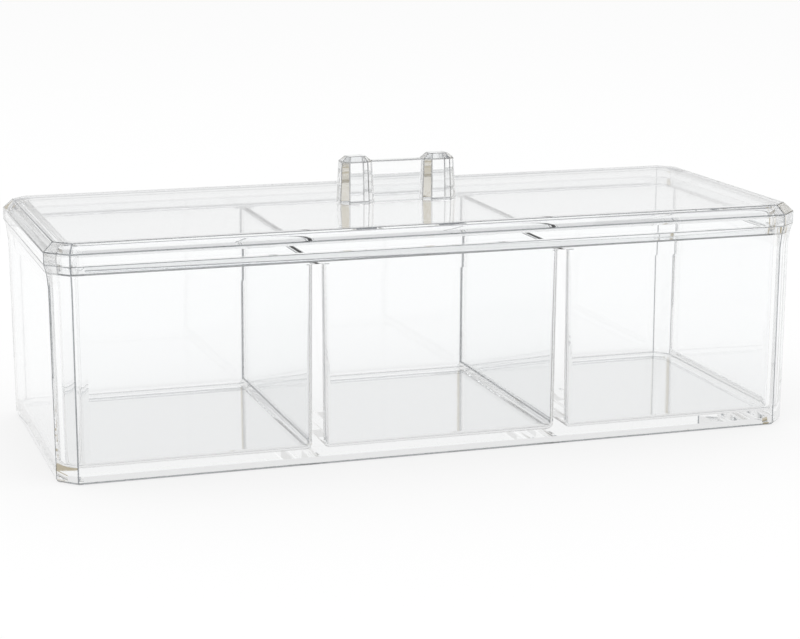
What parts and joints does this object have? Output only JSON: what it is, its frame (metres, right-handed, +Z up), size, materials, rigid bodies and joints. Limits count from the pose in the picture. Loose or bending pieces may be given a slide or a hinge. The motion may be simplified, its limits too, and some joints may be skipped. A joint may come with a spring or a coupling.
{
  "type": "compartment box with lift-off lid",
  "caption": "Clear moulded box with equal compartments for cotton balls, swabs and pads, and a lift-off lid with a faceted handle.",
  "frame": {"origin": "middle of the footprint, on the table", "axes": "+X along the box, -Y the front, +Z up"},
  "size_m": [0.24, 0.098, 0.087],
  "materials": {
    "clear_tub": "clear polished polystyrene, water-clear",
    "clear_lid": "clear polished polystyrene, water-clear",
    "clear_handle": "clear polished polystyrene, water-clear"
  },
  "bodies": {
    "tub": {"tub": "clear_tub"},
    "lid": {"lid": "clear_lid", "handle": "clear_handle"}
  },
  "joints": [
    {"name": "lid_lift", "type": "slide", "parent": "tub", "child": "lid", "axis": [0, 0, 1], "range_m": [0, 0.1]}
  ]
}
